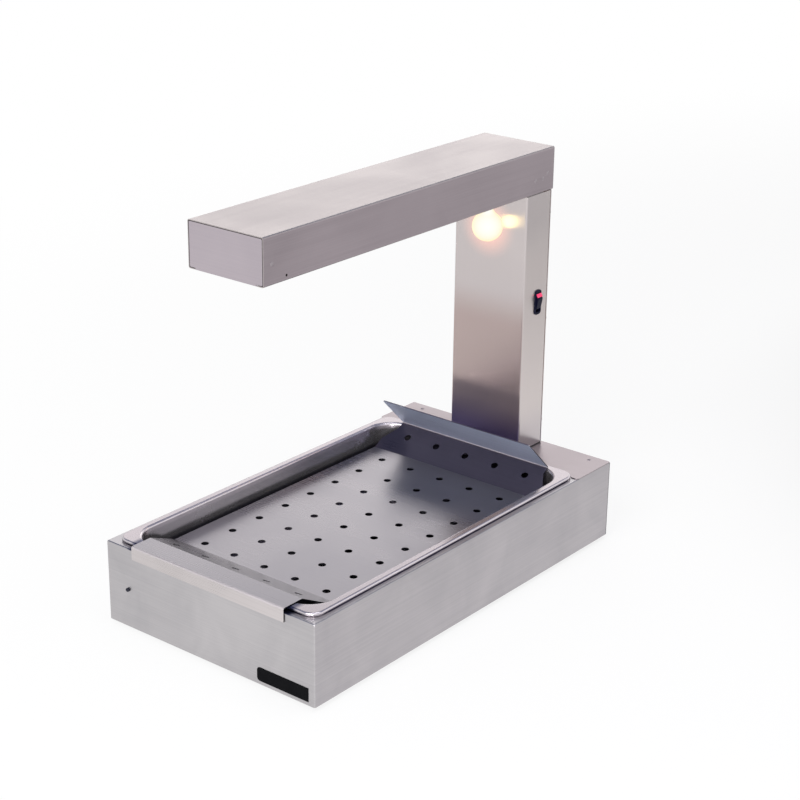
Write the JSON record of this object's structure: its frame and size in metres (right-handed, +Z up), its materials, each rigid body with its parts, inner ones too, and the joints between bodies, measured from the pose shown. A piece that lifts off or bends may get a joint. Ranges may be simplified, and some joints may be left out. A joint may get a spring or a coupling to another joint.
{
  "type": "chip warmer",
  "caption": "Countertop chip warmer: steel base with a lift-out pan and perforated insert under a heated arm carried by a rear column with a rocker switch.",
  "frame": {"origin": "centre of the bounding box in plan, on the surface that the rubber feet stand on", "axes": "+Z up, +Y from the serving end towards the column at the back, +X to the right seen from the serving end"},
  "size_m": [0.342, 0.628, 0.5367],
  "materials": {
    "base_steel": "brushed stainless steel, satin",
    "pan_steel": "drawn stainless steel, bright rim",
    "insert_steel": "brushed stainless steel sheet, satin",
    "neck_steel": "brushed stainless steel, grain along the column and arm",
    "plain_steel": "plain mill-finish steel inside the housing",
    "fastener_steel": "bright stainless fasteners",
    "reflector_aluminium": "bright reflector sheet",
    "element_sheath": "heat-darkened nickel alloy sheath",
    "ceramic": "unglazed cream ceramic",
    "lamp_glass": "thin opal-white lamp glass",
    "lamp_metal": "plated lamp cap",
    "holder_plastic": "heat-proof black moulding",
    "switch_black": "black moulded plastic, slight gloss",
    "switch_red": "red translucent plastic",
    "black_rubber": "black rubber",
    "black_plastic": "black nylon",
    "block_plastic": "white moulded terminal block"
  },
  "bodies": {
    "base": {"base_shell": "base_steel", "base_floor": "plain_steel", "floor_screws": "fastener_steel", "rubber_feet": "black_rubber", "foot_screws": "fastener_steel", "foot_nuts": "fastener_steel", "back_panel": "base_steel", "column_crossmember": "plain_steel", "rear_deck": "base_steel", "deck_rivets": "fastener_steel", "front_plug": "black_plastic", "column_gasket": "black_rubber", "column_foot_bracket": "plain_steel", "foot_bolts": "fastener_steel", "foot_bolt_nuts": "fastener_steel", "wire_grommet": "black_rubber", "column_channel": "neck_steel", "column_back_cover": "neck_steel", "column_screws": "fastener_steel", "column_head_bracket": "plain_steel", "arm_rivets": "fastener_steel", "arm_housing": "neck_steel", "arm_front_cap": "neck_steel", "arm_back_cap": "neck_steel", "reflector": "reflector_aluminium", "heating_element": "element_sheath", "element_brackets": "plain_steel", "terminal_plate": "plain_steel", "ceramic_bushes": "ceramic", "element_terminals": "fastener_steel", "lamp_plate": "plain_steel", "lamp_holder": "holder_plastic", "lamp_glass": "lamp_glass", "lamp_cap": "lamp_metal", "switch_body": "switch_black", "switch_terminals": "fastener_steel", "cable_gland": "black_plastic", "gland_locknut": "black_plastic", "terminal_block": "block_plastic", "earth_stud": "fastener_steel", "earth_nut": "fastener_steel"},
    "pan": {"gastronorm_pan": "pan_steel"},
    "insert": {"drain_insert": "insert_steel"},
    "rocker": {"switch_rocker": "switch_black", "rocker_band": "switch_red"}
  },
  "joints": [
    {"name": "pan_lift", "type": "slide", "parent": "base", "child": "pan", "axis": [0, 0, 1], "range_m": [0, 0.08]},
    {"name": "insert_lift", "type": "slide", "parent": "pan", "child": "insert", "axis": [0, 0, 1], "range_m": [0, 0.05]},
    {"name": "switch_rock", "type": "hinge", "parent": "base", "child": "rocker", "pos_m": [0.0555, 0.2725, 0.3269], "axis": [0, 1, 0], "range_deg": [-22, 0]}
  ]
}
